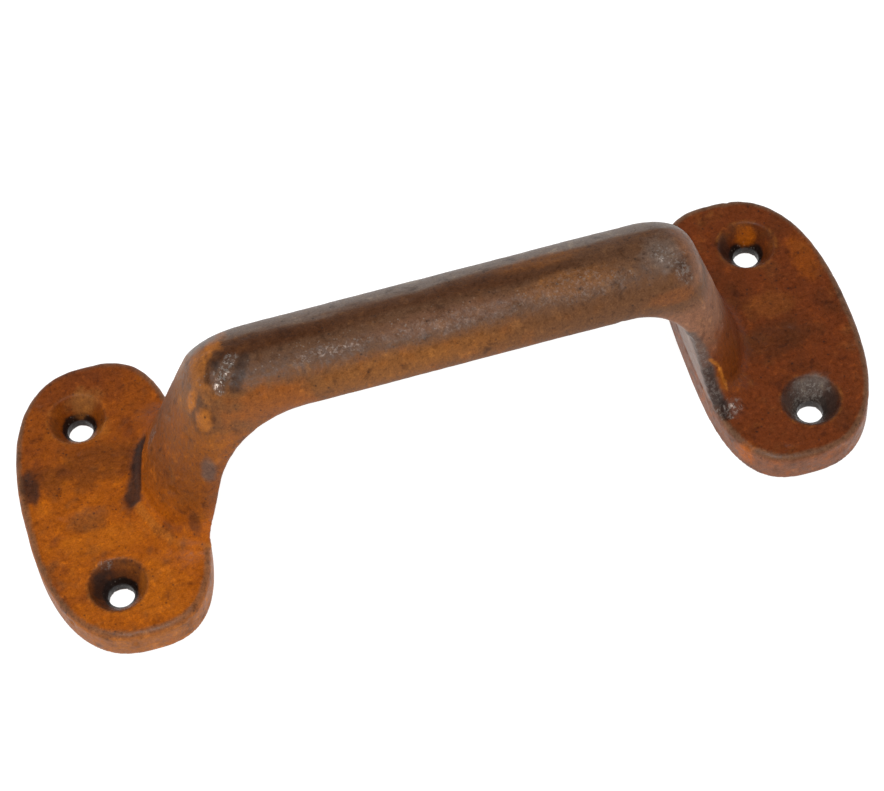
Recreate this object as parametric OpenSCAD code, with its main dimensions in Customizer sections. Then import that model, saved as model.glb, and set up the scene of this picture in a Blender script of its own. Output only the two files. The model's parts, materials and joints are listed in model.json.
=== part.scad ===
// Pull handle: a bow grip and its two flat feet, cast in one piece, for a door, gate or shed.
//
// Frame: +X runs along the grip, +Y across it and +Z away from the door. The origin is the centre
// of the mounting plane, midway between the feet, which stand on z = 0.

/* [Feet] */
// Overall length, over both feet
overall_length = 165; // [160:1:180]
// Half length of a foot's outline along X
foot_half_x = 16.7; // [15:0.1:18]
// Half width of a foot's outline along Y
foot_half_y = 31.2; // [29:0.1:34]
// Squareness of a foot's outline, where 2 is an ellipse
foot_squareness = 2.65; // [2:0.05:3.5]
// How far the middle of a foot bows outwards from its two ends
foot_bow = 1.6; // [0:0.1:2.5]
// Thickness of a foot
foot_thickness = 6.4; // [5:0.1:8]
// Radius that rounds a foot's top edge
foot_edge_r = 1.2; // [0.4:0.1:2]

/* [Screw holes] */
// Distance between the holes along X
hole_spacing_x = 136.2; // [130:0.1:140]
// Distance between the holes along Y
hole_spacing_y = 38.4; // [36:0.1:42]
// Radius of the straight bore
hole_r = 2.5; // [2:0.1:3]
// Radius of the countersink at the foot's top face
countersink_r = 5.6; // [4.5:0.1:6]
// Height of the straight bore, below the countersink
bore_height = 2.2; // [1.5:0.1:4]

/* [Grip] */
// Height of the bar's hand side above the mounting plane
bar_inner_z = 33.5; // [28:0.5:40]
// Thickness of the bar
bar_thickness = 8.5; // [7:0.5:12]
// Half width of the bar
bar_half_width = 9.6; // [8:0.1:12]
// Where the bar is widest, as a share of its thickness from the hand side
bar_widest = 0.25; // [0.1:0.05:0.5]
// Squareness of the bar's rounded outer side
outer_squareness = 1.9; // [1.5:0.1:3]
// Squareness of the bar's flatter hand side
hand_squareness = 4.2; // [2:0.1:5]
// X offset of the whole bar from the middle, as cast
bar_shift = 2.5; // [0:0.5:3]

/* [Arms] */
// Half width of an arm at its root
root_half_width = 16; // [12:0.5:18]
// How fast an arm widens towards its root, where 1 is evenly
arm_flare = 1.05; // [0.5:0.05:2]
// X of the corner between an arm's hand side and the bar's, before rounding
hand_corner_x = 42.4; // [40:0.1:44]
// Radii of that corner at the +X end and at the -X end
hand_corner_r = [13.5, 21]; // [8:0.5:24]
// X of an arm's outer face where it meets its foot
outer_root_x = 60; // [58:0.5:62]
// X of the corner between an arm's outer face and the bar's, before rounding
outer_corner_x = 47; // [44:0.5:50]
// Radii of that corner at the +X end and at the -X end
outer_corner_r = [6.5, 7]; // [3:0.5:10]
// Radius of the fillet between an arm and the top of its foot
root_fillet_r = 3; // [1:0.5:4]

/* [Hidden] */

// Smoothness of the swept shapes
outline_sides = 96;
edge_steps = 4;
section_sides = 40;
arm_steps = 14;
corner_steps = 12;
bar_steps = 4;
hole_sides = 64;

// Overlap of a cutting tool past the face it cuts
cut = 1;
// Depth of an arm's start below the top of its foot
arm_start_depth = 1;
// Crowding of an arm's rings towards its root, where 1 is even
arm_crowding = 1.4;

arm_start_z = foot_thickness - arm_start_depth;
foot_x = overall_length / 2 - foot_half_x - foot_bow / 2;
bar_outer_z = bar_inner_z + bar_thickness;
// The arm's hand side is flush with the foot's inner wall at the foot's top
hand_root_x = foot_inner_x(0);

// ---- Outlines -------------------------------------------------------------------------------

// Shortens a direction (cosine, sine) so that its end lies on a superellipse of unit size
function squared(c, s, n) = pow(pow(abs(c), n) + pow(abs(s), n), -1 / n);

// How far the foot's outline is carried outwards at this Y, measured from foot_x
function bow(y) = foot_bow * (0.5 - pow(y / foot_half_y, 2));

// X of the foot's inner wall, the one nearest to the origin
function foot_inner_x(y) =
    foot_x + bow(y) - foot_half_x * pow(1 - pow(abs(y) / foot_half_y, foot_squareness), 1 / foot_squareness);

// The foot's outline, drawn in by inset
function foot_outline(inset) = [
    for (i = [0 : outline_sides - 1])
        let (
            c = cos(360 * i / outline_sides),
            s = sin(360 * i / outline_sides),
            k = squared(c, s, foot_squareness),
            y = (foot_half_y - inset) * s * k
        )
        [foot_x + (foot_half_x - inset) * c * k + bow(y), y]
];

// ---- Sweeps ---------------------------------------------------------------------------------

// Closes a stack of rings, each a list of 3D points, into one solid
module skin(rings) {
    sides = len(rings[0]);
    last = len(rings) - 1;
    walls = [
        for (r = [0 : last - 1], i = [0 : sides - 1])
            let (j = (i + 1) % sides)
            [r * sides + i, (r + 1) * sides + i, (r + 1) * sides + j, r * sides + j]
    ];
    first_cap = [for (i = [0 : sides - 1]) i];
    last_cap = [for (i = [sides - 1 : -1 : 0]) last * sides + i];
    polyhedron(points = [for (ring = rings) each ring], faces = concat([first_cap, last_cap], walls));
}

// A line in the XZ plane from root towards corner, an arc of radius r, and a line to x = 0
function arm_profile(root, corner, r) =
    let (
        along = (corner - root) / norm(corner - root),
        bend = acos(-along.x),
        start = corner - along * r * tan(bend / 2),
        end = corner - [r * tan(bend / 2), 0],
        spoke = [along.y, -along.x] * r,
        centre = start - spoke
    )
    [
        for (i = [0 : arm_steps - 1]) root + (start - root) * pow(i / arm_steps, arm_crowding),
        for (i = [0 : corner_steps])
            let (a = bend * i / corner_steps)
            centre + [spoke.x * cos(a) - spoke.y * sin(a), spoke.x * sin(a) + spoke.y * cos(a)],
        for (i = [1 : bar_steps]) end + ([0, corner.y] - end) * i / bar_steps
    ];

// How far the root fillet has grown at this height above the foot's top
function fillet(height) =
    let (left = root_fillet_r - min(max(height, 0), root_fillet_r))
    root_fillet_r - sqrt(pow(root_fillet_r, 2) - left * left);

// One ring of the grip, from its hand side's point to its outer side's point, both in XZ
function grip_ring(hand, outer) =
    let (
        rise = hand.y / bar_inner_z,
        half_width = bar_half_width + (root_half_width - bar_half_width) * pow(max(1 - rise, 0), arm_flare),
        widest = bar_widest * (hand.y - arm_start_z + 1) / (bar_inner_z - arm_start_z + 1),
        hugging = min((bar_inner_z - hand.y) / (bar_inner_z - foot_thickness), 1)
    )
    [
        for (i = [0 : section_sides - 1])
            let (
                a = -360 * i / section_sides,
                c = cos(a),
                s = sin(a),
                k = squared(c, s, s > 0 ? outer_squareness : hand_squareness),
                depth = widest + s * k * (s > 0 ? 1 - widest : widest),
                z = hand.y + (outer.y - hand.y) * depth,
                grow = fillet(z - foot_thickness),
                y = half_width * c * k + grow * c,
                hug = (foot_inner_x(y) - hand_root_x) * (1 - depth) * pow(hugging, 2)
            )
            [hand.x + (outer.x - hand.x) * depth + grow * max(s, 0) + hug, y, z]
    ];

// The side view of one face of an arm, from x at the foot's top to the bar at corner
function face_profile(x, corner, r) =
    let (
        at_foot = [x, foot_thickness],
        down = (at_foot - corner) / (corner.y - foot_thickness)
    )
    arm_profile(at_foot + down * arm_start_depth, corner, r);

// The rings of one half of the grip, from its root to x = 0, as if at the +X end
function half_grip(shift, hand_r, outer_r) =
    let (
        hand = face_profile(hand_root_x, [hand_corner_x + shift, bar_inner_z], hand_r),
        outer = face_profile(outer_root_x, [outer_corner_x + shift, bar_outer_z], outer_r)
    )
    [for (i = [0 : len(hand) - 1]) grip_ring(hand[i], outer[i])];

function mirrored(ring) = [for (p = ring) [-p.x, p.y, p.z]];

// ---- Sub-parts ------------------------------------------------------------------------------

// The foot at the +X end, with its top edge rounded
module foot() {
    wall_top = foot_thickness - foot_edge_r;
    levels = [
        [0, 0],
        for (i = [0 : edge_steps])
            let (a = 90 * i / edge_steps)
            [foot_edge_r * (1 - cos(a)), wall_top + foot_edge_r * sin(a)]
    ];
    skin([for (level = levels) [for (p = foot_outline(level[0])) [p.x, p.y, level[1]]]]);
}

// The bar and its two arms, from root to root
module grip() {
    right = half_grip(bar_shift, hand_corner_r[0], outer_corner_r[0]);
    left = half_grip(-bar_shift, hand_corner_r[1], outer_corner_r[1]);
    skin(concat(right, [for (i = [len(left) - 2 : -1 : 0]) mirrored(left[i])]));
}

// The space of one screw hole: a straight bore at the back and a countersink at the front
module screw_hole() {
    cone_height = foot_thickness - bore_height;
    slope = (countersink_r - hole_r) / cone_height;
    translate([0, 0, -cut])
        cylinder(h = bore_height + 2 * cut, r = hole_r, $fn = hole_sides);
    translate([0, 0, bore_height])
        cylinder(h = cone_height + cut, r1 = hole_r, r2 = countersink_r + slope * cut, $fn = hole_sides);
}

module pull_handle() {
    color("saddlebrown")
        difference() {
            union() {
                foot();
                mirror([1, 0, 0]) foot();
                grip();
            }
            for (x = [-1, 1] * hole_spacing_x / 2, y = [-1, 1] * hole_spacing_y / 2)
                translate([x, y, 0]) screw_hole();
        }
}

pull_handle();
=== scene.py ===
"""Rusty cast-iron pull handle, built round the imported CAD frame.

The casting is one surface: a field whose zero is the metal's skin. It is meshed, then roughened
with cast waves, pits and scale, then painted with rust. Lengths are in millimetres until make_mesh
writes them in metres, apart from the stage's, which are in metres. Colours are linear RGB.
"""
import json
import math

import bpy
import numpy as np
from mathutils import Matrix, Vector


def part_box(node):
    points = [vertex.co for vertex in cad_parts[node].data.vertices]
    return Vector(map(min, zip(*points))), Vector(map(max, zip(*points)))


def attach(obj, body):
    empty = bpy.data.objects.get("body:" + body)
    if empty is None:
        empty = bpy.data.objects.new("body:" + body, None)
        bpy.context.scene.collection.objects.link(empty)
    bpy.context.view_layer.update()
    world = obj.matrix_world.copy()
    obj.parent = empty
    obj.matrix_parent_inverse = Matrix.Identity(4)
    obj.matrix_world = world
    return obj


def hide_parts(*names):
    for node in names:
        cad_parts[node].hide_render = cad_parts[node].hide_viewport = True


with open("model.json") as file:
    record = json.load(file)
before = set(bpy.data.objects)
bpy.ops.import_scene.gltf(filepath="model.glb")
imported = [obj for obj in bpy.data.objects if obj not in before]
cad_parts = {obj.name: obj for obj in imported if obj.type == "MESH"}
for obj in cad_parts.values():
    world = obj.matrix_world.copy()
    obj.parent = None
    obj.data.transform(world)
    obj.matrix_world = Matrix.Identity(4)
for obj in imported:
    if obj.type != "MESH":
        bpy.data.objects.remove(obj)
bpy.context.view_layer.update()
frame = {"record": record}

MM = 0.001
MESH_STEP = 0.45

# ---- Sizes, from the frame ----------------------------------------------------------------------

LOW, HIGH = (np.array(corner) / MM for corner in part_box("pull_handle"))
MOUNTS = {mount["name"]: mount for mount in frame["record"]["mounts"]}
SCREWS = MOUNTS["screws"]["dims"]

HALF_LENGTH = HIGH[0]
FOOT_HALF_Y = HIGH[1]
BAR_TOP = HIGH[2]
HOLE_X = SCREWS["spacing_x_mm"] / 2
HOLE_Y = SCREWS["spacing_y_mm"] / 2
HOLE_R = SCREWS["hole_r_mm"]

# ---- Sizes of the casting, as the CAD part has them ---------------------------------------------

FOOT_HALF_X = 16.7
FOOT_SQUARENESS = 2.65
FOOT_BOW = 1.6
FOOT_TOP = 6.4
FOOT_EDGE_R = 1.2
FOOT_X = HALF_LENGTH - FOOT_HALF_X - FOOT_BOW / 2
FOOT_INNER_X = FOOT_X - FOOT_HALF_X + FOOT_BOW / 2

COUNTERSINK_R = 5.6
BORE_TOP = 2.2
CONE_SLOPE = (COUNTERSINK_R - HOLE_R) / (FOOT_TOP - BORE_TOP)

BAR_BOTTOM = BAR_TOP - 8.5
BAR_HALF_WIDTH = 9.6
BAR_WIDEST = 0.25
BAR_SHIFT = 2.5
ROOT_HALF_WIDTH = 16.0
OUTER_SQUARENESS = 1.9
HAND_SQUARENESS = 4.2
HAND_CORNER_X = 42.4
HAND_RADII = (13.5, 21.0)
OUTER_ROOT_X = 60.0
OUTER_CORNER_X = 47.0
OUTER_RADII = (6.5, 7.0)

# Blends between the arms and the feet: at an arm's hand side, at its outer face, and past its sides
HAND_FILLET = 0.4
ROOT_FILLET = 2.8
SIDE_FILLET = 4.0

# Rounding of the holes' rims and of the back's edges
RIM_ROUNDING = 0.2
BACK_ROUNDING = 0.4


# ---- The field ----------------------------------------------------------------------------------

def smooth_step(low, high, value):
    """Rises smoothly from 0 at low to 1 at high."""
    t = np.clip((value - low) / (high - low), 0, 1)
    return t * t * (3 - 2 * t)


def smooth_min(a, b, width):
    """The lower of two fields, with the crease between them filled over that width."""
    h = np.maximum(width - np.abs(a - b), 0) / width
    return np.minimum(a, b) - h * h * width / 4


def between(rise, fall, value):
    """1 between two ranges, and smooth over each of them."""
    return smooth_step(*rise, value) * (1 - smooth_step(*fall, value))


def smooth_max(a, b, width):
    """The higher of two fields, with the ridge between them rounded over that width."""
    return -smooth_min(-a, -b, width)


def squared_distance(u, v, half_u, half_v, power):
    """Roughly how far a point is outside a superellipse with those half sizes."""
    reach = np.hypot(u, v)
    level = (np.abs(u / half_u) ** power + np.abs(v / half_v) ** power) ** (1 / power)
    return reach - reach / np.maximum(level, 1e-3)


def bow(y):
    """How far a foot's outline is carried outwards at this Y."""
    return FOOT_BOW * (0.5 - (y / FOOT_HALF_Y) ** 2)


def foot_field(x, y, z):
    """Distance outside a foot, with its top edge rounded."""
    wall = squared_distance(x - FOOT_X - bow(y), y, FOOT_HALF_X, FOOT_HALF_Y, FOOT_SQUARENESS)
    side = wall + FOOT_EDGE_R
    top = z - FOOT_TOP + FOOT_EDGE_R
    edge = np.hypot(np.maximum(side, 0), np.maximum(top, 0))
    return edge + np.minimum(np.maximum(side, top), 0) - FOOT_EDGE_R


def bend_field(x, z, root_x, corner_x, corner_z, radius):
    """Distance past a face that rises from its root, rounds its corner and runs along the bar."""
    run = root_x - corner_x
    rise = corner_z - FOOT_TOP
    length = np.hypot(run, rise)
    normal_x = rise / length
    normal_z = run / length
    arm = (x - root_x) * normal_x + (z - FOOT_TOP) * normal_z
    bar = z - corner_z
    centre_z = corner_z - radius
    centre_x = root_x - (radius + (centre_z - FOOT_TOP) * normal_z) / normal_x
    from_x = x - centre_x
    from_z = z - centre_z
    in_corner = (from_x > 0) & (from_z * normal_x - from_x * normal_z > 0)
    return np.where(in_corner, np.hypot(from_x, from_z) - radius, np.maximum(arm, bar))


def layer_field(x, z, depth, right):
    """Distance past one layer of the grip, from 0 at the side that the hand holds to 1 outside."""
    def at_depth(hand, outer):
        return hand + (outer - hand) * depth
    shift = np.where(right, BAR_SHIFT, -BAR_SHIFT)
    root_x = at_depth(FOOT_INNER_X, OUTER_ROOT_X)
    corner_x = at_depth(HAND_CORNER_X, OUTER_CORNER_X) + shift
    radius = at_depth(np.where(right, *HAND_RADII), np.where(right, *OUTER_RADII))
    return bend_field(x, z, root_x, corner_x, at_depth(BAR_BOTTOM, BAR_TOP), np.maximum(radius, 1))


def grip_depth(x, z, right):
    """The layer that a point is on, and the metal's thickness there."""
    hand = layer_field(x, z, 0, right)
    thickness = np.maximum(hand - layer_field(x, z, 1, right), 4)
    depth = np.clip(hand / thickness, -1, 2)
    for _ in range(4):
        depth = np.clip(depth + layer_field(x, z, depth, right) / thickness, -1, 2)
    return depth, thickness


def foot_wall_drift(y):
    """How far the foot's inner wall has curved away from the middle of the handle at this Y."""
    share = np.clip(1 - np.abs(y / FOOT_HALF_Y) ** FOOT_SQUARENESS, 0, 1)
    wall = FOOT_X + bow(y) - FOOT_HALF_X * share ** (1 / FOOT_SQUARENESS)
    return wall - FOOT_INNER_X


def grip_field(x, y, z, right):
    """The bar and its arms. Also gives the depth in them, from the hand side."""
    hugging = np.clip((BAR_BOTTOM - z) / (BAR_BOTTOM - FOOT_TOP), 0, 1) ** 2
    x = x - foot_wall_drift(y) * hugging
    depth, thickness = grip_depth(x, z, right)
    level = np.clip(z / (BAR_BOTTOM + np.clip(depth, 0, 1) * (BAR_TOP - BAR_BOTTOM)), 0, 1)
    half_width = BAR_HALF_WIDTH + (ROOT_HALF_WIDTH - BAR_HALF_WIDTH) * (1 - level)
    widest = BAR_WIDEST * np.clip((z - FOOT_TOP + 2) / (BAR_BOTTOM - FOOT_TOP + 2), 0.06, 1)
    past = depth - widest
    outer_half = past > 0
    half_depth = np.where(outer_half, 1 - widest, widest) * thickness
    power = np.where(outer_half, OUTER_SQUARENESS, HAND_SQUARENESS)
    return squared_distance(past * thickness, y, half_depth, half_width, power), depth * thickness


def hole_field(x, y, z):
    """Below zero in a screw hole, which ends a little above the foot."""
    radius = np.hypot(x - HOLE_X, np.abs(y) - HOLE_Y)
    height = np.minimum(z, FOOT_TOP + 1) - BORE_TOP
    cone = (radius - HOLE_R - height * CONE_SLOPE) / math.hypot(1, CONE_SLOPE)
    return np.minimum(radius - HOLE_R, cone)


def casting_field(x, y, z):
    """Below zero inside the metal."""
    right = x > 0
    x = np.abs(x)
    grip, depth = grip_field(x, y, z, right)
    side = smooth_step(10, 15, np.abs(y))
    outside = smooth_step(0.5, 4, depth)
    fillet = HAND_FILLET + (ROOT_FILLET - HAND_FILLET) * outside + SIDE_FILLET * side
    metal = smooth_min(foot_field(x, y, z), grip, fillet)
    metal = smooth_max(metal, -z, BACK_ROUNDING)
    return smooth_max(metal, -hole_field(x, y, z), RIM_ROUNDING)


# ---- Meshing the field --------------------------------------------------------------------------

CORNERS = [(i, j, k) for i in (0, 1) for j in (0, 1) for k in (0, 1)]


def block(values, offset):
    """The grid's values at one corner of every cell."""
    i, j, k = offset
    nx, ny, nz = values.shape
    return values[i:nx - 1 + i, j:ny - 1 + j, k:nz - 1 + k]


def surface_net(values, low, step):
    """One point in each cell that the surface crosses, and one quad for each crossed grid edge."""
    inside = values < 0
    corner_count = sum(block(inside, c).astype(np.int8) for c in CORNERS)
    active = (corner_count > 0) & (corner_count < 8)
    number = np.full(active.shape, -1, np.int64)
    number[active] = np.arange(active.sum())
    cells = np.argwhere(active)

    total = np.zeros((len(cells), 3))
    crossings = np.zeros(len(cells))
    for a in CORNERS:
        for axis in range(3):
            if a[axis]:
                continue
            b = tuple(1 if n == axis else a[n] for n in range(3))
            va = block(values, a)[active]
            vb = block(values, b)[active]
            cut = (va < 0) != (vb < 0)
            t = np.where(cut, va / np.where(cut, va - vb, 1), 0)
            point = np.tile(np.array(a, float), (len(cells), 1))
            point[:, axis] = t
            total += point * cut[:, None]
            crossings += cut
    points = (cells + total / crossings[:, None]) * step + low

    quads = []
    for axis in range(3):
        u, v = (axis + 1) % 3, (axis + 2) % 3
        first = np.moveaxis(inside, axis, 0)[:-1]
        second = np.moveaxis(inside, axis, 0)[1:]
        edges = np.argwhere(np.moveaxis(first != second, 0, axis))
        edges = edges[(edges[:, u] > 0) & (edges[:, v] > 0)]
        ring = []
        for du, dv in ((1, 1), (0, 1), (0, 0), (1, 0)):
            cell = edges.copy()
            cell[:, u] -= du
            cell[:, v] -= dv
            ring.append(number[tuple(cell.T)])
        quad = np.stack(ring, 1)
        leaving = inside[tuple(edges.T)]
        quad[~leaving] = quad[~leaving][:, ::-1]
        quads.append(quad)
    return points, np.concatenate(quads)


def slope(points, reach=0.05):
    """The field's gradient at each point."""
    out = np.empty_like(points)
    for axis in range(3):
        ahead = points.copy()
        behind = points.copy()
        ahead[:, axis] += reach
        behind[:, axis] -= reach
        out[:, axis] = (casting_field(*ahead.T) - casting_field(*behind.T)) / (2 * reach)
    return out


def unit(vectors):
    return vectors / np.maximum(np.linalg.norm(vectors, axis=1, keepdims=True), 1e-9)


def settle(points, rounds=3, least_slope=0.05):
    """Moves each point onto the surface itself."""
    for _ in range(rounds):
        gradient = slope(points)
        size = np.maximum((gradient ** 2).sum(1), least_slope)
        move = gradient * (casting_field(*points.T) / size)[:, None]
        points = points - np.clip(move, -MESH_STEP / 2, MESH_STEP / 2)
    return points


def cast_surface():
    """The points, quads and normals of the smooth casting."""
    low = LOW - 1.5 * MESH_STEP
    counts = np.ceil((HIGH - LOW) / MESH_STEP).astype(int) + 4
    axes = [low[n] + MESH_STEP * np.arange(counts[n]) for n in range(3)]
    x, y, z = np.meshgrid(*(axis.astype(np.float32) for axis in axes), indexing="ij", sparse=True)
    points, quads = surface_net(casting_field(x, y, z), low, MESH_STEP)
    points = settle(points)
    return points, quads, unit(slope(points))


# ---- Noise --------------------------------------------------------------------------------------

# Cells before the noise repeats, and a shift that keeps its grid off the part's own planes
LATTICE = 32
LATTICE_OFFSET = 100.37
# Brings the noise to about -1 to 1
NOISE_GAIN = 1.6
# How much fainter each finer layer is
LAYER_FALL = 1.6


def noise(points, size, seed):
    """Smooth gradient noise, about -1 to 1, with bumps about size apart."""
    gradients = np.random.default_rng(seed).normal(size=(LATTICE, LATTICE, LATTICE, 3))
    gradients /= np.linalg.norm(gradients, axis=-1, keepdims=True)
    scaled = points / size + LATTICE_OFFSET
    cell = np.floor(scaled).astype(int)
    part = scaled - cell
    fade = part ** 3 * (part * (part * 6 - 15) + 10)
    out = np.zeros(len(points))
    for corner in CORNERS:
        corner = np.array(corner)
        gradient = gradients[tuple(((cell + corner) % LATTICE).T)]
        weight = np.where(corner, fade, 1 - fade).prod(1)
        out += weight * (gradient * (part - corner)).sum(1)
    return out * NOISE_GAIN


def layered_noise(points, size, seed, layers=3):
    """Noise with finer, fainter noise on top of it."""
    total = sum(noise(points, size / 2 ** n, seed + n) / LAYER_FALL ** n for n in range(layers))
    return total / LAYER_FALL


# ---- The skin of the casting --------------------------------------------------------------------

# The sand mould's texture all over the casting
WAVE_HEIGHT = 0.15
WAVE_SIZE = 17
LUMP_HEIGHT = 0.07
LUMP_SIZE = 4.5
GRAIN_HEIGHT = 0.045
GRAIN_SIZE = 1.4
PIT_DEPTH = 0.28
PIT_SIZE = 2.6
# Share of it that hands have worn off the bar, and the heights over which the wear sets in
BAR_WEAR = 0.5
WEAR_HEIGHTS = (28, 36)

# Dents: depth (below zero stands out), centre, radii
DENTS = [
    (0.35, (-80, 6, 6), (1.6, 4, 3)),
    (0.3, (-71, -4, 6), (5, 3, 2)),
    (0.25, (66, -4, 6), (9, 3, 2)),
    (0.3, (-41, -4, 41), (1.3, 3, 2)),
    (0.3, (46.5, -4.5, 40), (1.5, 3, 3)),
    (-0.35, (-45.5, -7.5, 35), (2, 1.8, 2.4)),
    (-0.25, (-46.5, -3.5, 36), (1.3, 1.4, 3)),
    (-0.4, (50.2, -15, 11), (1, 1.5, 4)),
    (0.4, (-49, -29.5, 4), (3, 2, 3)),
    (0.35, (70, -31, 5), (4, 2, 2)),
]

# Coarse scale: height, centre, radii
CRUSTS = [
    (0.3, (-39, -2.5, 42), (4, 5, 3)),
    (0.28, (45, -3.5, 41.5), (5, 5, 3)),
    (0.14, (4, -4.5, 41.5), (20, 3, 3)),
    (0.12, (-20, -4, 41.5), (10, 3, 3)),
    (0.3, (51, -15.5, 9), (3, 2.5, 4)),
    (0.2, (-56, 3, 12), (3, 4, 7)),
    (0.2, (-72, -17, 5), (3.5, 5, 3)),
    (0.2, (69, -17, 4), (5, 5, 4)),
]

# Paths of the long marks
LEFT_STREAK = [(-57.2, 8.8, 8), (-59.2, 3.9, 7.8), (-61.4, -1.8, 6.5)]
LEFT_RIDGE = [(-60.8, -4, 6.8), (-58.5, -10, 6.9), (-55, -14.5, 6.9), (-50.5, -16, 6.4)]
LEFT_CRESCENT = [(-37.8, -0.5, 42), (-40, -3, 41.6), (-41.3, -5.5, 40.6)]
RIGHT_CRESCENT = [(43, -1.5, 42), (45.5, -3.5, 41.3), (47, -6.5, 39.5)]
RIGHT_EDGE = [(46.2, -10.6, 26), (48, -12, 21.5), (49.2, -13.1, 15.8), (50.6, -14.6, 8)]
RIGHT_CREST = [(49.6, -12.3, 19), (51.6, -12.4, 16), (52.8, -13.1, 10.5), (52.6, -14.6, 7.6)]
RIGHT_NOTCH = [(51.8, -14.8, 7.6), (51.5, -17.8, 6.4)]

# Scale that stands on a path: height, radius, path
LONG_CRUSTS = [
    (0.3, 2, RIGHT_EDGE),
]

# Ridges, and grooves where the height is below zero: height, radius, path
LONG_MARKS = [
    (0.4, 1.6, LEFT_RIDGE),
    (-0.3, 1.8, LEFT_STREAK),
    (-0.7, 1, RIGHT_NOTCH),
]


def spot(points, centre, radii):
    """1 at the centre of a soft spot, 0 outside it."""
    distance = np.linalg.norm((points - centre) / radii, axis=1)
    return 1 - smooth_step(0.3, 1.2, distance)


def path_distance(points, path):
    """Distance to a path of straight runs."""
    nearest = np.full(len(points), 1e3)
    path = np.array(path, float)
    for start, end in zip(path[:-1], path[1:]):
        run = end - start
        share = np.clip((points - start) @ run / (run @ run), 0, 1)
        away = points - start - share[:, None] * run
        nearest = np.minimum(nearest, np.linalg.norm(away, axis=1))
    return nearest


def soft_line(points, path, radius):
    """1 along the path, 0 away from it."""
    return 1 - smooth_step(0.2, 1.2, path_distance(points, path) / radius)


def roughen(points, normals):
    """Moves the skin as sand casting and rust have left it. The bores and the back stay true."""
    hole = hole_field(np.abs(points[:, 0]), points[:, 1], points[:, 2])
    keep = smooth_step(0.3, 1.5, hole) * smooth_step(0.1, 1.2, points[:, 2])
    waves = WAVE_HEIGHT * layered_noise(points, WAVE_SIZE, 11, 2)
    lumps = LUMP_HEIGHT * layered_noise(points, LUMP_SIZE, 21, 2)
    grain = GRAIN_HEIGHT * noise(points, GRAIN_SIZE, 31)
    pits = -PIT_DEPTH * smooth_step(0.5, 0.9, noise(points, PIT_SIZE, 41))
    worn_smooth = 1 - BAR_WEAR * smooth_step(*WEAR_HEIGHTS, points[:, 2])
    height = (waves + lumps + grain + pits) * worn_smooth
    for depth, centre, radii in DENTS:
        height -= depth * spot(points, centre, radii)
    crumbs = 0.7 * noise(points, 1.3, 51) + noise(points, 2.6, 52)
    for tall, centre, radii in CRUSTS:
        height += tall * crumbs * spot(points, centre, radii)
    for tall, radius, path in LONG_CRUSTS:
        height += tall * crumbs * soft_line(points, path, radius)
    for tall, radius, path in LONG_MARKS:
        height += tall * soft_line(points, path, radius)
    return points + normals * (height * keep)[:, None]


def make_mesh(name, points, quads):
    """A smooth-shaded piece in metres, from points in millimetres."""
    mesh = bpy.data.meshes.new(name)
    mesh.from_pydata((points * MM).tolist(), [], quads.tolist())
    mesh.polygons.foreach_set("use_smooth", np.ones(len(quads), bool))
    mesh.validate()
    piece = bpy.data.objects.new(name, mesh)
    bpy.context.scene.collection.objects.link(piece)
    return piece


# ---- Stage --------------------------------------------------------------------------------------

FLOOR_HALF_SIZE = 3.0
FLOOR_Z = -0.0004
FLOOR_GREY = 0.3
FLOOR_GLOW = 0.95

TENT_COLOUR = (0.94, 0.97, 1, 1)
TENT_WALL_STRENGTH = 1.0
TENT_ROOF_STRENGTH = 0.1
# Where the wall ends and the roof starts: 0 is level and 1 is straight up
TENT_WALL_TOP = 0.25
TENT_ROOF_START = 0.6

LAMP_PLACE = (-0.1, -0.2, 0.9)
LAMP_SIZE = 0.4
LAMP_WATTS = 5.8


def plain_material(name, colour, glow):
    """A matt material that gives off some white light of its own."""
    material = bpy.data.materials.new(name)
    material.use_nodes = True
    shader = material.node_tree.nodes["Principled BSDF"]
    shader.inputs["Base Color"].default_value = (*colour, 1)
    shader.inputs["Roughness"].default_value = 0.9
    shader.inputs["Emission Color"].default_value = (1, 1, 1, 1)
    shader.inputs["Emission Strength"].default_value = glow
    return material


def make_floor():
    """A floor that glows, so that it shows as white and lights the handle from below."""
    size = FLOOR_HALF_SIZE
    mesh = bpy.data.meshes.new("floor")
    corners = [(-size, -size, 0), (size, -size, 0), (size, size, 0), (-size, size, 0)]
    mesh.from_pydata(corners, [], [(0, 1, 2, 3)])
    floor = bpy.data.objects.new("floor", mesh)
    floor.location.z = FLOOR_Z
    bpy.context.scene.collection.objects.link(floor)
    mesh.materials.append(plain_material("floor", (FLOOR_GREY,) * 3, FLOOR_GLOW))


def area_light(name, place, size, watts):
    """A square soft light that points at the handle."""
    data = bpy.data.lights.new(name, "AREA")
    data.size = size
    data.energy = watts
    light = bpy.data.objects.new(name, data)
    light.location = place
    light.rotation_euler = Vector(place).to_track_quat("Z", "Y").to_euler()
    bpy.context.scene.collection.objects.link(light)


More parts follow.
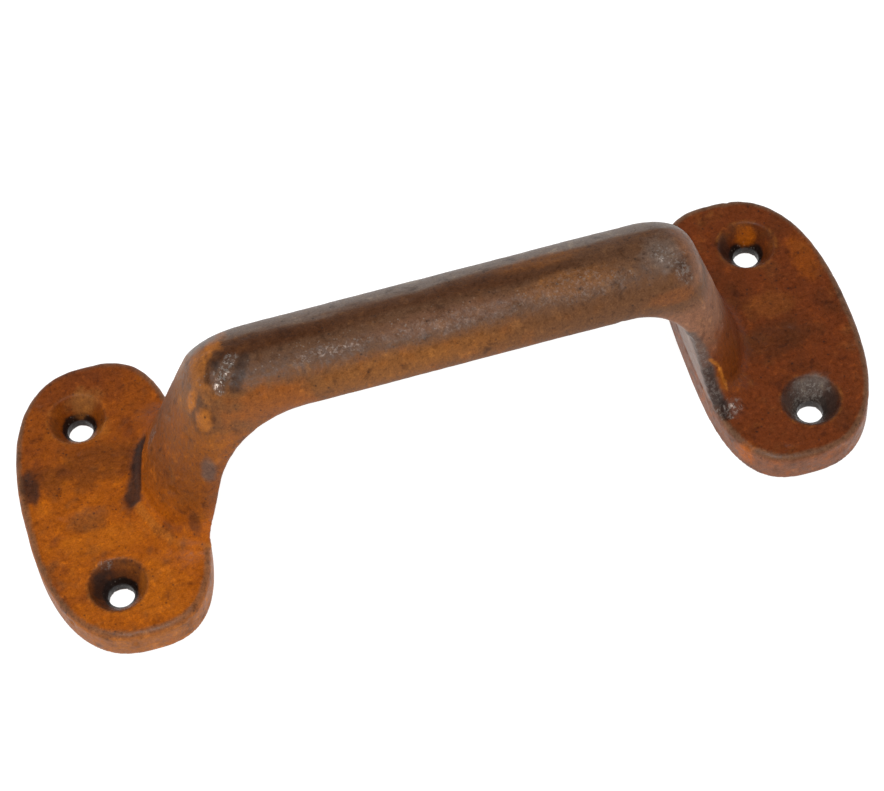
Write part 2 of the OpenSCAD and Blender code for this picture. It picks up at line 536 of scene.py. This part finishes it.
def light_scene():
    """A light tent: white all round near the horizon, dim above, with one soft lamp overhead."""
    world = bpy.data.worlds.new("tent")
    world.use_nodes = True
    tree = world.node_tree
    background = tree.nodes["Background"]
    direction = tree.nodes.new("ShaderNodeTexCoord").outputs["Generated"]
    parts = tree.nodes.new("ShaderNodeSeparateXYZ")
    tree.links.new(direction, parts.inputs[0])
    fall = tree.nodes.new("ShaderNodeMapRange")
    fall.interpolation_type = "SMOOTHSTEP"
    heights = {"From Min": TENT_WALL_TOP, "From Max": TENT_ROOF_START}
    strengths = {"To Min": TENT_WALL_STRENGTH, "To Max": TENT_ROOF_STRENGTH}
    for name, value in {**heights, **strengths}.items():
        fall.inputs[name].default_value = value
    tree.links.new(parts.outputs["Z"], fall.inputs["Value"])
    tree.links.new(fall.outputs["Result"], background.inputs["Strength"])
    background.inputs["Color"].default_value = TENT_COLOUR
    bpy.context.scene.world = world
    area_light("lamp", LAMP_PLACE, LAMP_SIZE, LAMP_WATTS)
    bpy.context.scene.view_settings.view_transform = "Standard"


# ---- Camera -------------------------------------------------------------------------------------

CAMERA_AZIMUTH = -11.0
CAMERA_ELEVATION = 56.9
CAMERA_ROLL = -5.5
CAMERA_DISTANCE = 572.0
CAMERA_TARGET = (3.3, 5.1, 0.0)
CAMERA_LENS = 119.2
CAMERA_SHIFT = (-0.0125, 0.0074)
SENSOR_WIDTH = 36


def make_camera():
    azimuth = math.radians(CAMERA_AZIMUTH)
    elevation = math.radians(CAMERA_ELEVATION)
    roll = math.radians(CAMERA_ROLL)
    back = Vector((
        math.sin(azimuth) * math.cos(elevation),
        -math.cos(azimuth) * math.cos(elevation),
        math.sin(elevation),
    ))
    level_right = Vector((math.cos(azimuth), math.sin(azimuth), 0))
    level_up = back.cross(level_right)
    right = level_right * math.cos(roll) + level_up * math.sin(roll)
    up = back.cross(right)
    data = bpy.data.cameras.new("camera")
    data.lens = CAMERA_LENS
    data.sensor_width = SENSOR_WIDTH
    data.shift_x, data.shift_y = CAMERA_SHIFT
    data.clip_start = 0.01
    camera = bpy.data.objects.new("camera", data)
    place = (Vector(CAMERA_TARGET) + back * CAMERA_DISTANCE) * MM
    camera.matrix_world = Matrix.Translation(place) @ Matrix((right, up, back)).transposed().to_4x4()
    bpy.context.scene.collection.objects.link(camera)
    bpy.context.scene.camera = camera


# ---- Rust: broad colours, held by the mesh ------------------------------------------------------

def paint(red, green, blue):
    """An sRGB colour, from 0 to 255, as linear RGB."""
    colour = np.array((red, green, blue)) / 255
    return np.where(colour > 0.04045, ((colour + 0.055) / 1.055) ** 2.4, colour / 12.92)


ORANGE = paint(168, 84, 0)
BRIGHT_ORANGE = paint(196, 106, 8)
AMBER = paint(184, 108, 34)
TAN = paint(158, 96, 36)
RED_BROWN = paint(112, 50, 12)
DEEP_BROWN = paint(74, 38, 12)
MID_BROWN = paint(116, 70, 32)
GREY_BROWN = paint(98, 66, 44)
MAUVE = paint(138, 92, 66)
COAL = paint(40, 29, 26)
SLATE = paint(86, 74, 68)
STEEL_AND_HIGHLIGHT = paint(120, 106, 97)
UMBER = paint(124, 63, 6)
BURNT = paint(116, 54, 2)
DUN = paint(112, 84, 62)
PALE_HIGHLIGHT = paint(152, 136, 126)
PINK = paint(150, 92, 40)

START_ROUGHNESS = 0.5
ARM_HEIGHTS = (9, 17)
BAR_HEIGHTS = (31, 36)


class Skin:
    """The casting's colours and finish, point by point, with the masks that place them.

    A mask runs from 0, where it leaves the skin alone, to 1.
    """

    def __init__(self, points, normals):
        self.points = points
        self.normals = normals
        self.x, self.y, self.z = points.T
        self.tone = np.tile(GREY_BROWN, (len(points), 1))
        self.rough = np.full(len(points), START_ROUGHNESS)
        self.chalk_and_glints = np.zeros(len(points))
        self.scale = np.zeros(len(points))

    def cover(self, mask, colour):
        """Paints the colour over what is there."""
        self.tone += (colour - self.tone) * np.clip(mask, 0, 1)[:, None]

    def noise(self, size, seed, stretch=(1, 1, 1), layers=3):
        return layered_noise(self.points / stretch, size, seed, layers)

    def ragged(self, distance, coarse, seed):
        """1 where the distance is under 1 and 0 past that, with a coarsely broken edge."""
        edge = np.zeros(len(distance))
        near = distance < 2
        edge[near] = layered_noise(self.points[near], max(coarse, 1.2), 900 + seed)
        bite = min(0.2 * coarse, 0.55)
        return 1 - smooth_step(0.65, 1.35, distance + bite * edge)

    def patch(self, centre, radii, seed):
        """A ragged spot round a point on the surface."""
        distance = np.linalg.norm((self.points - centre) / radii, axis=1)
        return self.ragged(distance, min(radii), seed)

    def stroke(self, path, radius, seed):
        """A ragged line over the surface."""
        return self.ragged(path_distance(self.points, path) / radius, 1.6, 50 + seed)


def foot_wall(x, y):
    """Distance outside a foot's outline."""
    return squared_distance(np.abs(x) - FOOT_X - bow(y), y, FOOT_HALF_X, FOOT_HALF_Y, FOOT_SQUARENESS)


def colour_feet(skin):
    """Orange rust on the left foot and red-brown rust on the right one."""
    left = 1 - smooth_step(-10, 10, skin.x)
    patchy = skin.noise(10, 101)
    mottle = skin.noise(4, 111)
    fine = skin.noise(1.7, 121, layers=2)
    skin.cover(left, ORANGE)
    skin.cover(left * smooth_step(0.05, 0.6, patchy + 0.5 * mottle) * 0.6, RED_BROWN)
    skin.cover(left * smooth_step(0.1, 0.7, mottle + 0.6 * fine) * 0.45, MID_BROWN)
    skin.cover(left * smooth_step(0.15, 0.7, -mottle + 0.4 * fine) * 0.5, BRIGHT_ORANGE)
    skin.cover(left * smooth_step(4, 16, skin.y) * 0.45, RED_BROWN)
    right = 1 - left
    skin.cover(right, RED_BROWN)
    skin.cover(right * smooth_step(-0.1, 0.7, patchy) * 0.55, DEEP_BROWN)
    skin.cover(right * smooth_step(0.1, 0.8, -patchy + 0.5 * mottle) * 0.35, MID_BROWN)
    skin.cover(right * smooth_step(0.3, 0.9, mottle + 0.5 * fine) * 0.2, TAN)


def colour_arms(skin):
    """Brown and orange on the left arm. The right arm is mauve, with a pale painted highlight on its
    side to the hand.
    """
    height = skin.z + 2.5 * skin.noise(7, 131, layers=2)
    mottle = skin.noise(3.5, 141)
    rise = smooth_step(*ARM_HEIGHTS, height)
    left = rise * (skin.x < 0)
    skin.cover(left * 0.9, UMBER)
    skin.cover(left * smooth_step(18, 36, height) * 0.4, TAN)
    skin.cover(left * smooth_step(0, 0.7, mottle) * 0.45, MID_BROWN)
    skin.cover(left * smooth_step(0.1, 0.8, -mottle) * 0.35, ORANGE)
    right = rise * (skin.x > 0)
    skin.cover(right * smooth_step(17, 27, height), MAUVE)
    skin.cover(right * smooth_step(0.1, 0.7, mottle) * 0.4, GREY_BROWN)
    # Painted highlight: pale grey on the right arm's faces that turn towards the hand
    hand_side_highlight = smooth_step(0.3, 0.8, -skin.normals[:, 0]) * smooth_step(5, 8, skin.z)
    hand_side_highlight *= (skin.x > 0) & (skin.x < OUTER_ROOT_X - 4)
    skin.cover(hand_side_highlight * (0.6 + 0.25 * mottle), PALE_HIGHLIGHT)


def colour_bar(skin):
    """Bands that run along the bar: from +Y, a painted grey highlight, dark brown, chalky grey and
    brown.
    """
    bar = smooth_step(*BAR_HEIGHTS, skin.z + 1.2 * skin.noise(5, 151, layers=2))
    streaks = skin.noise(3, 161, stretch=(5, 1, 1))
    across = skin.y + 1.6 * streaks
    mottle = skin.noise(2.6, 171)
    skin.cover(bar, GREY_BROWN)
    skin.cover(bar * smooth_step(0.1, 0.8, mottle) * 0.4, MID_BROWN)
    dark = between((-1, 0.5), (3, 5), across)
    skin.cover(bar * dark * (0.6 - 0.4 * smooth_step(12, 32, skin.x)), DEEP_BROWN)
    # Painted highlight: pale grey along the bar's far top edge, stronger where the skin faces up
    facing_up = smooth_step(0.1, 0.6, skin.normals[:, 2])
    worn = (0.15 + 0.7 * facing_up) * (0.75 + 0.25 * smooth_step(-40, 0, skin.x))
    skin.cover(bar * smooth_step(3.8, 5.4, across) * worn, STEEL_AND_HIGHLIGHT)
    low = 1 - smooth_step(-7.5, -4.5, across)
    towards_left = 1 - smooth_step(5, 32, skin.x)
    skin.cover(bar * low * (0.3 + 0.3 * towards_left), MID_BROWN)
    skin.cover(bar * low * towards_left * 0.12, TAN)
    skin.cover(bar * low * towards_left * smooth_step(-0.1, 0.8, mottle) * 0.2, ORANGE)
    skin.rough -= 0.04 * bar
    skin.chalk_and_glints += 0.5 * bar * between((-6, -3.5), (-2.5, 0), across)


def colour_walls(skin, mottle):
    """The feet's side walls, and the rims above them, paler as wear and as a painted highlight."""
    wall = foot_wall(skin.x, skin.y)
    foot = 1 - smooth_step(FOOT_TOP, FOOT_TOP + 1.2, skin.z)
    side = foot * smooth_step(-0.35, -0.1, wall)
    skin.cover(side * 0.7 * (skin.x < 0), PINK)
    skin.cover(side * 0.6 * (skin.x > 0), MAUVE)
    skin.cover(side * smooth_step(0.1, 0.6, mottle) * 0.4, ORANGE)
    skin.cover(side * smooth_step(0.1, 0.6, -mottle) * 0.5, DEEP_BROWN)
    # The rounded top edge: grey-brown, partly wear and partly a painted highlight
    rim_wear_and_highlight = foot * smooth_step(-1.7, -1.1, wall + 0.3 * mottle) * (1 - smooth_step(-0.4, -0.1, wall))
    rim_wear_and_highlight *= smooth_step(4.6, 5.4, skin.z)
    skin.cover(rim_wear_and_highlight * 0.65, DUN)
    skin.rough -= 0.07 * rim_wear_and_highlight


def colour_holes(skin, mottle):
    """A pale ring round each hole, a dark cone, darker still on the near side, and a bore painted near
    black as painted shade, with pale crumbs as painted glints.
    """
    hole = hole_field(np.abs(skin.x), skin.y, skin.z)
    inside = 1 - smooth_step(0.05, 0.3, hole)
    ring = between((-0.1, 0.1), (0.25, 0.6), hole) * smooth_step(4, 6, skin.z)
    skin.cover(ring * 0.45 * smooth_step(-0.4, 0.3, mottle), TAN)
    near = inside * (skin.y < 0)
    skin.cover(inside * 0.3, DEEP_BROWN)
    skin.cover(near * 0.55, COAL)
    # Painted shade: the bore and the foot of the cone near black, with pale crumbs in it as painted
    # glints
    bore_shade = inside * (1 - smooth_step(BORE_TOP + 0.9, BORE_TOP + 1.5, skin.z + 0.5 * mottle))
    skin.cover(bore_shade * 0.95, 0.3 * COAL)
    skin.rough -= 0.05 * bore_shade
    skin.chalk_and_glints += 0.3 * bore_shade


def colour_back(skin):
    back = 1 - smooth_step(0.05, 0.3, skin.z)
    skin.cover(back * 0.7, MID_BROWN)
    skin.cover(back * smooth_step(-0.2, 0.5, skin.noise(5, 191)) * 0.6, DEEP_BROWN)


# Spots: colour, strength, centre, radii
SPOTS = [
    # Left foot
    (COAL, 0.75, (-79.9, 6.5, 6), (1.6, 3.9, 2)),
    (DEEP_BROWN, 0.5, (-68, 8, 6), (11, 4.5, 3)),
    (MID_BROWN, 0.5, (-71, -4, 6), (4, 2.5, 2)),
    (BRIGHT_ORANGE, 0.4, (-68, -9, 6), (8, 3, 3)),
    (BRIGHT_ORANGE, 0.4, (-62, -22, 6), (6, 6, 3)),
    (RED_BROWN, 0.6, (-66, 27, 6), (10, 5, 3)),
    (COAL, 0.8, (-71.2, -17.5, 3.6), (2.8, 4.2, 2.3)),
    (PINK, 0.9, (-65.5, 23.8, 4.6), (3.4, 2.4, 2.6)),
    (AMBER, 0.6, (-66, 15.5, 4.4), (4.5, 2.5, 2.4)),
    # Left arm
    (AMBER, 0.5, (-43.5, 0, 40), (2.4, 6, 3.5)),
    (TAN, 0.5, (-47, 3, 34), (3, 6, 5)),
    (AMBER, 0.7, (-40.5, 3, 41.5), (1.6, 3, 3)),
    (AMBER, 0.3, (-38.5, 6, 40), (1.2, 2.5, 2)),
    # Painted highlight: the bar's pale far-edge band carried round the shoulder
    (STEEL_AND_HIGHLIGHT, 0.5, (-42.5, 6.5, 39.5), (3.5, 2.5, 3.5)),
    (AMBER, 0.75, (-46.5, -3.5, 36), (1.4, 1.5, 3.2)),
    (DEEP_BROWN, 0.5, (-45.5, -7.5, 35), (2.7, 2.5, 3.4)),
    (AMBER, 0.7, (-45.5, -7.5, 35), (2, 1.8, 2.6)),
    (SLATE, 0.7, (-46.7, -11.5, 24.5), (1.5, 2, 3)),
    (COAL, 0.5, (-51.5, -13.5, 11.5), (1.1, 1.8, 3.2)),
    (GREY_BROWN, 0.4, (-50, 6, 28), (4, 5, 9)),
    # Bar
    (DEEP_BROWN, 0.3, (14, 1, 42), (16, 2, 2)),
    (AMBER, 0.15, (21, 3.6, 41.5), (8, 1.8, 2)),
    (TAN, 0.35, (26, -3, 42), (9, 2.6, 2)),
    (MAUVE, 0.3, (2, -3.5, 42), (16, 2.2, 2)),
    (TAN, 0.3, (-12, -8.5, 38), (12, 2, 3)),
    (TAN, 0.3, (3, -8.5, 38.5), (8, 1.5, 2)),
    (ORANGE, 0.35, (-33, -9, 37), (8, 3, 4)),
    (DEEP_BROWN, 0.6, (-30, 1.5, 42), (12, 2, 2)),
    # Right arm
    (MAUVE, 0.6, (49, -2, 39), (4, 6, 4)),
    (ORANGE, 0.2, (44, -8.6, 37), (6, 1.2, 1.6)),
    (BURNT, 0.85, (54.5, -9, 14), (3.5, 6, 8.5)),
    (BRIGHT_ORANGE, 0.25, (51.8, -13.4, 11.5), (1.1, 0.9, 4.5)),
    (COAL, 0.6, (50.8, -16, 8), (1.8, 1.8, 3)),
    (STEEL_AND_HIGHLIGHT, 0.4, (43.5, -2, 42), (3.8, 3.8, 2.5)),
    (COAL, 0.35, (47, -5, 40), (1.6, 3, 3)),
    # Right foot
    (ORANGE, 0.35, (78, 13, 6), (2.5, 6, 2)),
    (DEEP_BROWN, 0.5, (66, -4, 6), (9, 4, 2)),
    (TAN, 0.2, (68, 4, 6), (5, 3, 2)),
    (ORANGE, 0.8, (69.2, 23, 4), (1.9, 2, 2.5)),
    (COAL, 0.6, (63.8, 20, 4), (2.2, 4, 3)),
    (ORANGE, 0.7, (53, -25.5, 4), (2.5, 2, 2.5)),
    (SLATE, 0.5, (69, -18, 3.5), (6, 5, 3.5)),
    (STEEL_AND_HIGHLIGHT, 0.7, (69.5, -15, 4.6), (3.5, 2, 2.4)),
    (COAL, 0.5, (72, -21, 3), (3, 3, 3)),
]

# Silvery scale and chips: amount, centre, radii
SCALE = [
    (0.22, (4, -4.5, 41.5), (15, 2, 2)),
    (0.4, (-20, -4, 41.5), (7, 1.2, 2)),
    (0.25, (27, -4, 41.5), (8, 3, 2)),
    (1.0, (-55, 4.5, 16), (1.6, 1.6, 3.5)),
    (0.8, (-44.5, -2.5, 40.5), (0.7, 0.7, 0.7)),
    (0.8, (53, -16.5, 7), (2, 1.5, 1.5)),
    (0.6, (-69.5, -14, 6), (1.2, 1, 1)),
    (1.0, (69, -15.8, 3.8), (4.2, 2.5, 2.2)),
    (0.8, (64.5, -20, 3), (1.5, 2.5, 2)),
]

# Long marks: colour, strength, radius, path
STROKES = [
    (COAL, 0.85, 1.8, LEFT_STREAK),
    (AMBER, 0.45, 0.9, LEFT_RIDGE),
    (COAL, 0.7, 1.2, [(-40, 1, 41.8), (-42.6, -3, 41)]),
    (COAL, 0.6, 1.1, [(-35.5, -1, 42), (-38.5, -6, 40.5)]),
    (SLATE, 0.7, 1.5, RIGHT_EDGE),
    (COAL, 0.6, 1.2, RIGHT_EDGE[2:]),
    (COAL, 0.7, 0.9, RIGHT_NOTCH),
    (AMBER, 0.75, 0.34, RIGHT_CREST),
]

# Silvery scale along a path: amount, radius, path
SCALE_STROKES = [
    (1.0, 1.05, LEFT_CRESCENT),
    (0.55, 1.7, RIGHT_CRESCENT),
    (0.3, 1.1, RIGHT_EDGE),
    (0.9, 0.6, [(54.8, -14.6, 6.8), (52.3, -18.2, 6.3)]),
    (0.7, 0.5, [(50.2, -15.2, 7), (50.8, -18, 6.2)]),
]


def colour_spots(skin):
    """The marks that have a place of their own. A mark's number in its list seeds its edge."""
    scale = []
    for number, (colour, strength, centre, radii) in enumerate(SPOTS):
        skin.cover(strength * skin.patch(centre, radii, number), colour)
    for number, (colour, strength, radius, path) in enumerate(STROKES):
        skin.cover(strength * skin.stroke(path, radius, number), colour)
    for number, (amount, centre, radii) in enumerate(SCALE):
        scale.append(amount * skin.patch(centre, radii, 100 + number))
    for number, (amount, radius, path) in enumerate(SCALE_STROKES):
        scale.append(amount * skin.stroke(path, radius, 100 + number))
    skin.scale = np.max(scale, axis=0)
    skin.cover(skin.scale * 0.35, SLATE)


def paint_skin(mesh, points, normals):
    """Stores the broad colours in "tone" and the finish (roughness, chalk and painted glints, scale) in
    "finish".
    """
    skin = Skin(points, normals)
    colour_feet(skin)
    colour_arms(skin)
    colour_bar(skin)
    mottle = skin.noise(2.8, 181)
    colour_walls(skin, mottle)
    colour_holes(skin, mottle)
    colour_back(skin)
    colour_spots(skin)
    opaque = np.ones(len(points))
    tone = np.column_stack([skin.tone, opaque])
    finish = np.column_stack([skin.rough, skin.chalk_and_glints, skin.scale, opaque])
    for name, values in (("tone", tone), ("finish", finish)):
        attribute = mesh.attributes.new(name, "FLOAT_COLOR", "POINT")
        attribute.data.foreach_set("color", np.clip(values, 0, 1).astype(np.float32).ravel())


# ---- Rust: fine detail, in the material ---------------------------------------------------------

# What the rust's colour is multiplied by in the hollows and on the crests
HOLLOW_TINT = (0.4, 0.36, 0.34)
CREST_TINT = (1.5, 1.55, 1.45)
PIN_COLOUR = (0.018, 0.01, 0.008)
CRUMB_COLOUR = (0.26, 0.21, 0.17)
BARE_IRON = (0.36, 0.31, 0.27)
RUST_SPECULAR = 0.18


class Nodes:
    """Short calls for building one material's nodes. Most of them return an output socket."""

    # A Mix node has sockets for several data types. These are its two colours and their mixture
    MIX_A = 6
    MIX_B = 7
    MIX_RESULT = 2

    def __init__(self, material):
        material.use_nodes = True
        self.tree = material.node_tree
        self.shader = self.tree.nodes["Principled BSDF"]
        self.place = self.tree.nodes.new("ShaderNodeTexCoord").outputs["Object"]

    def new(self, kind, inputs, **settings):
        node = self.tree.nodes.new(kind)
        for name, value in settings.items():
            setattr(node, name, value)
        for key, value in inputs.items():
            if isinstance(value, bpy.types.NodeSocket):
                self.tree.links.new(value, node.inputs[key])
            else:
                node.inputs[key].default_value = value
        return node

    def attribute(self, name):
        return self.new("ShaderNodeAttribute", {}, attribute_name=name).outputs["Color"]

    def split(self, colour):
        return self.new("ShaderNodeSeparateColor", {"Color": colour}).outputs

    def noise(self, size_mm, detail=2.0, roughness=0.5, distortion=0.0):
        inputs = {
            "Vector": self.place,
            "Scale": 1 / (size_mm * MM),
            "Detail": detail,
            "Roughness": roughness,
            "Distortion": distortion,
        }
        return self.new("ShaderNodeTexNoise", inputs).outputs["Fac"]

    def specks(self, size_mm):
        """Distance to scattered points, in spacings."""
        inputs = {"Vector": self.place, "Scale": 1 / (size_mm * MM)}
        return self.new("ShaderNodeTexVoronoi", inputs).outputs["Distance"]

    def ramp(self, value, low, high, start=0.0, end=1.0):
        """From start, where the value is low, smoothly to end, where it is high."""
        inputs = {"Value": value, "From Min": low, "From Max": high, "To Min": start, "To Max": end}
        return self.new("ShaderNodeMapRange", inputs, interpolation_type="SMOOTHSTEP").outputs["Result"]

    def math(self, operation, a, b):
        return self.new("ShaderNodeMath", {0: a, 1: b}, operation=operation).outputs[0]

    def mix(self, amount, a, b, blend="MIX"):
        node = self.new("ShaderNodeMix", {"Factor": amount}, data_type="RGBA", blend_type=blend)
        for index, colour in ((self.MIX_A, a), (self.MIX_B, b)):
            if isinstance(colour, bpy.types.NodeSocket):
                self.tree.links.new(colour, node.inputs[index])
            else:
                node.inputs[index].default_value = (*colour, 1)
        return node.outputs[self.MIX_RESULT]

    def bump(self, height, distance_mm, strength, normal=None):
        inputs = {"Height": height, "Distance": distance_mm * MM, "Strength": strength}
        if normal:
            inputs["Normal"] = normal
        return self.new("ShaderNodeBump", inputs).outputs["Normal"]

    def connect(self, socket, name):
        self.tree.links.new(socket, self.shader.inputs[name])


def rusted_iron():
    """Rust with the mesh's own colours and finish, broken up by noise."""
    material = bpy.data.materials.new("rusted_iron")
    nodes = Nodes(material)
    tone = nodes.attribute("tone")
    rough, chalk_and_glints, scale = (nodes.split(nodes.attribute("finish"))[n] for n in range(3))

    # Rust grows in grains of three sizes, darker in the hollows and brighter on the powdery crests
    blotch = nodes.noise(3.2, 4, 0.62, 0.4)
    grain = nodes.noise(0.9, 3, 0.6)
    dust = nodes.noise(0.32, 2, 0.6)
    # Noise, its hollows, how much they darken, its crests, how much they brighten
    grains = [
        (blotch, (0.44, 0.3), 0.6, (0.56, 0.7), 0.8),
        (grain, (0.5, 0.3), 0.42, (0.54, 0.72), 0.52),
        (dust, (0.5, 0.3), 0.38, (0.55, 0.7), 0.42),
    ]
    colour = tone
    for field, hollows, darker, crests, brighter in grains:
        colour = nodes.mix(nodes.ramp(field, *hollows, 0, darker), colour, HOLLOW_TINT, "MULTIPLY")
        colour = nodes.mix(nodes.ramp(field, *crests, 0, brighter), colour, CREST_TINT, "MULTIPLY")

    # Dark pin holes, in the hollows
    pins = nodes.ramp(nodes.specks(1.5), 0.2, 0.08)
    pins = nodes.math("MULTIPLY", pins, nodes.ramp(blotch, 0.56, 0.44))
    colour = nodes.mix(nodes.math("MULTIPLY", pins, 0.6), colour, PIN_COLOUR)

    # Pale crumbs on the chalky areas and, in the bores, as painted glints; bare metal where the scale
    # has come off
    crumb = nodes.ramp(nodes.specks(0.75), 0.3, 0.12)
    crumb = nodes.math("MULTIPLY", crumb, nodes.ramp(nodes.noise(1.6), 0.45, 0.6))
    colour = nodes.mix(nodes.math("MULTIPLY", crumb, chalk_and_glints), colour, CRUMB_COLOUR)
    flake = nodes.math("MULTIPLY", nodes.ramp(nodes.noise(0.7, 3, 0.7, 0.5), 0.5, 0.62), scale)
    colour = nodes.mix(nodes.math("MULTIPLY", flake, 0.7), colour, BARE_IRON)
    nodes.connect(colour, "Base Color")

    rough = nodes.math("ADD", rough, nodes.ramp(grain, 0.35, 0.7, -0.08, 0.12))
    rough = nodes.math("SUBTRACT", rough, nodes.math("MULTIPLY", flake, 0.15))
    nodes.connect(rough, "Roughness")
    nodes.connect(nodes.math("MULTIPLY", flake, 0.5), "Metallic")

    normal = nodes.bump(nodes.math("ADD", blotch, pins), 0.12, -0.5)
    normal = nodes.bump(grain, 0.1, 0.7, normal)
    normal = nodes.bump(dust, 0.035, 0.6, normal)
    nodes.connect(normal, "Normal")
    nodes.shader.inputs["Specular IOR Level"].default_value = RUST_SPECULAR
    return material


# ---- The scene ----------------------------------------------------------------------------------

make_camera()
points, quads, normals = cast_surface()
casting = make_mesh("casting", roughen(points, normals), quads)
paint_skin(casting.data, points, normals)
casting.data.materials.append(rusted_iron())
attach(casting, "root")
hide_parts("pull_handle")
make_floor()
light_scene()
